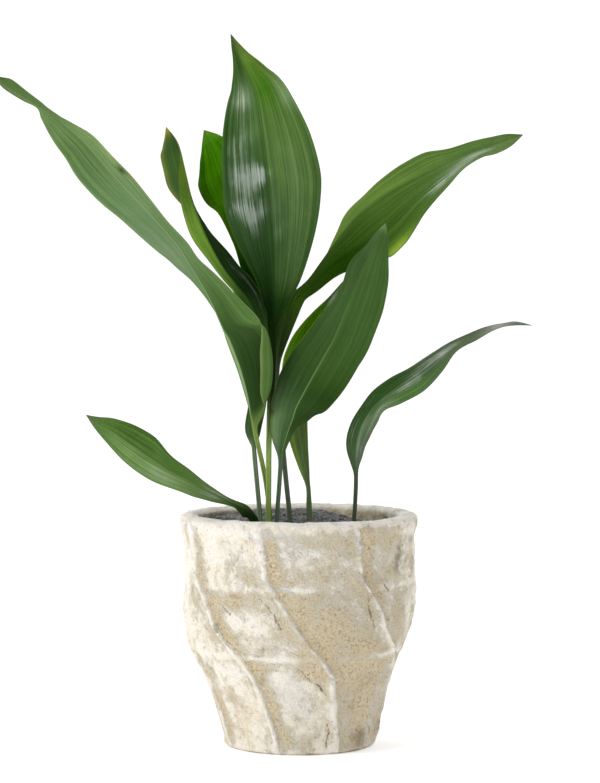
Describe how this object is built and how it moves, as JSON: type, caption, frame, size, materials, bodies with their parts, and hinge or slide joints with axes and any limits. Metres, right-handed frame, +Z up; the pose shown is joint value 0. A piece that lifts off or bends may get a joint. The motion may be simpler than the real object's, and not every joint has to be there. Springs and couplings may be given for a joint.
{
  "type": "potted foliage plant",
  "caption": "Broad upright strap-shaped leaves on slender stalks, growing from soil in a round tapered pot with slanting raised ridges.",
  "frame": {"origin": "centre of the pot's flat underside", "axes": "+Z up along the pot's axis; -Y towards the viewer of the reference picture; +X to that viewer's right"},
  "size_m": [0.4535, 0.2167, 0.61],
  "materials": {
    "pot_cement": "matte",
    "potting_soil": "matte",
    "rootstock": "matte",
    "leaf_light": "satin",
    "leaf_green": "gloss",
    "leaf_bright": "satin",
    "leaf_dark": "gloss"
  },
  "bodies": {
    "root": {"pot": "pot_cement", "soil": "potting_soil", "rhizome": "rootstock", "leaf_far_left": "leaf_light", "leaf_twisted": "leaf_green", "leaf_back_left": "leaf_bright", "leaf_tall": "leaf_green", "leaf_upper_right": "leaf_green", "leaf_back_centre": "leaf_green", "leaf_front_right": "leaf_dark", "leaf_low_left": "leaf_green", "leaf_low_right": "leaf_dark"}
  },
  "joints": []
}
